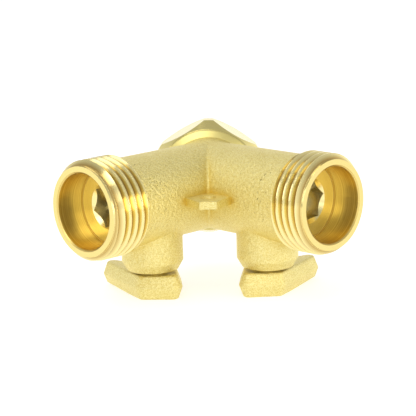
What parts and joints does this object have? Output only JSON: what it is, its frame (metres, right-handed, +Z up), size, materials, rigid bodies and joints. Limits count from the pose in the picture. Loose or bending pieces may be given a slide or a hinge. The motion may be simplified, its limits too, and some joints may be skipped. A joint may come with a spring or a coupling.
{
  "type": "hose splitter",
  "caption": "Brass garden-hose splitter: a swivel inlet nut feeds two male-threaded outlets, each with its own quarter-turn ball valve and lever.",
  "frame": {"origin": "centre of the mouth of the swivel nut's female thread", "axes": "+Y out of the inlet, against the flow; +Z up, away from the levers; +X across the two outlets"},
  "size_m": [0.0818, 0.0604, 0.0432],
  "materials": {
    "forged_brass": "fine sand-blasted forging, satin",
    "machined_brass": "machined, bright with turning marks",
    "plated_ball": "polished nickel plating",
    "ptfe": "white PTFE, smooth",
    "black_rubber": "matt moulded rubber",
    "spring_steel": "bright stainless steel"
  },
  "bodies": {
    "root": {"y_body": "forged_brass", "nut_retaining_ring": "spring_steel", "left_ball_retainer": "machined_brass", "left_outlet_seat": "ptfe", "left_inlet_seat": "ptfe", "left_thrust_washer": "ptfe", "right_ball_retainer": "machined_brass", "right_outlet_seat": "ptfe", "right_inlet_seat": "ptfe", "right_thrust_washer": "ptfe"},
    "swivel": {"swivel_nut": "machined_brass", "hose_washer": "black_rubber"},
    "left_valve": {"left_handle": "forged_brass", "left_stem": "machined_brass", "left_ball": "plated_ball", "left_stem_o_rings": "black_rubber", "left_handle_screw": "spring_steel", "left_lock_washer": "spring_steel"},
    "right_valve": {"right_handle": "forged_brass", "right_stem": "machined_brass", "right_ball": "plated_ball", "right_stem_o_rings": "black_rubber", "right_handle_screw": "spring_steel", "right_lock_washer": "spring_steel"}
  },
  "joints": [
    {"name": "inlet_swivel", "type": "hinge", "parent": "root", "child": "swivel", "pos_m": [0, -0.0195, 0], "axis": [0, 1, 0], "continuous": true},
    {"name": "left_valve_turn", "type": "hinge", "parent": "root", "child": "left_valve", "pos_m": [-0.01558, -0.03508, 0], "axis": [0, 0, 1], "range_deg": [0, 90]},
    {"name": "right_valve_turn", "type": "hinge", "parent": "root", "child": "right_valve", "pos_m": [0.01558, -0.03508, 0], "axis": [0, 0, -1], "range_deg": [0, 90]}
  ]
}
